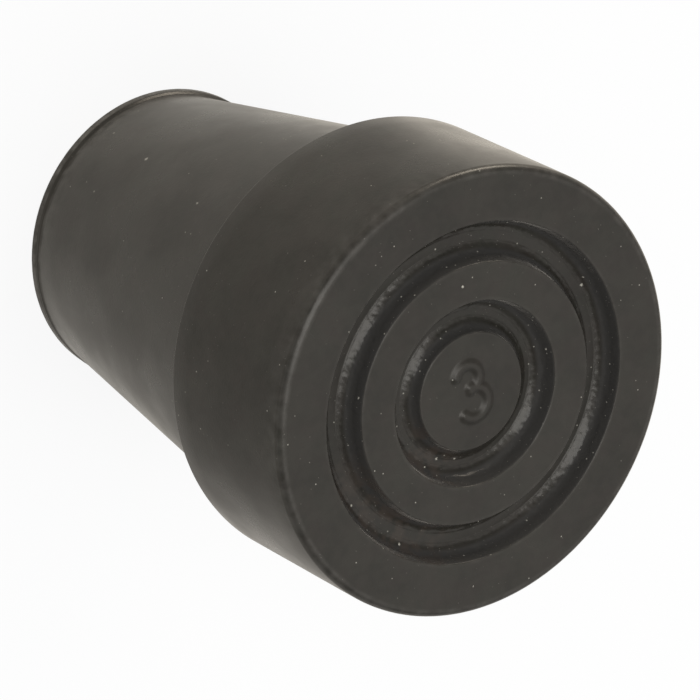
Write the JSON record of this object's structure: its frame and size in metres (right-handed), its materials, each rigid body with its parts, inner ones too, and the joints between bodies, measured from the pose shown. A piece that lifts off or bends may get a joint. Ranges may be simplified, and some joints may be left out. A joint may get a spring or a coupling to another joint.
{
  "type": "rubber cane tip",
  "caption": "Round rubber tip for the end of a cane: tapered stem with a blind bore, and a broad foot whose sole has ring grooves.",
  "frame": {"origin": "centre of the mouth, on the bore's axis, in the plane of the mouth's rim", "axes": "+Z along the bore's axis, out of the sole; +Y is the way up of the number on the sole; the tip stands on the rim of its mouth"},
  "size_m": [0.038, 0.038, 0.0475],
  "materials": {
    "rubber": "moulded dark grey-black with a matt skin, semi-gloss in the grooves"
  },
  "bodies": {
    "root": {"cane_tip": "rubber"}
  },
  "joints": []
}
